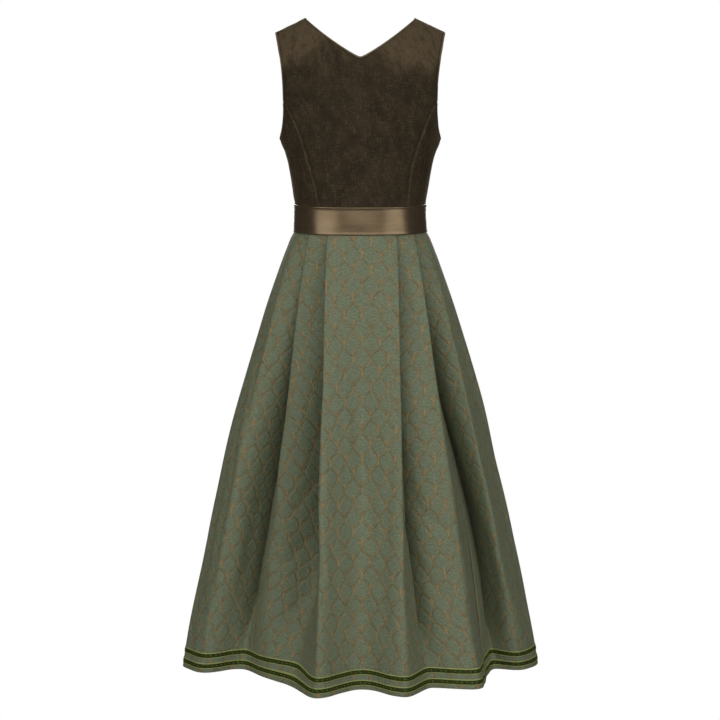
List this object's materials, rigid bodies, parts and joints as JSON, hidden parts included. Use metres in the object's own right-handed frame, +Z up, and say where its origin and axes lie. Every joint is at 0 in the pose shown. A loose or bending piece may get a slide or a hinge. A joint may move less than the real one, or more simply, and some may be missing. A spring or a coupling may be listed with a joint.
{
  "type": "dirndl dress",
  "caption": "Sleeveless European folk dress with a fitted velvet bodice, a satin belt and a long pleated skirt with ribbon trim.",
  "frame": {"origin": "midway between the shoulders, where the wearer carries the dress", "axes": "+Z up; -Y the back of the dress with the shallow V neck; +X to the right in the back view"},
  "size_m": [0.7314, 0.4836, 1.3208],
  "materials": {
    "bodice_velvet": "short velvet pile, dark olive brown",
    "belt_satin": "smooth bronze satin",
    "skirt_jacquard": "woven jacquard, grey green with brown scale lattice",
    "ribbon_velvet": "dark green velvet ribbon with light woven edges"
  },
  "bodies": {
    "root": {"bodice_back_centre": "bodice_velvet", "bodice_back_side_left": "bodice_velvet", "bodice_back_side_right": "bodice_velvet", "bodice_front_centre_left": "bodice_velvet", "bodice_front_centre_right": "bodice_velvet", "bodice_front_side_left": "bodice_velvet", "bodice_front_side_right": "bodice_velvet", "belt": "belt_satin", "skirt_back": "skirt_jacquard", "skirt_side_left": "skirt_jacquard", "skirt_side_right": "skirt_jacquard", "skirt_front": "skirt_jacquard", "ribbon_upper": "ribbon_velvet", "ribbon_lower": "ribbon_velvet"}
  },
  "joints": []
}
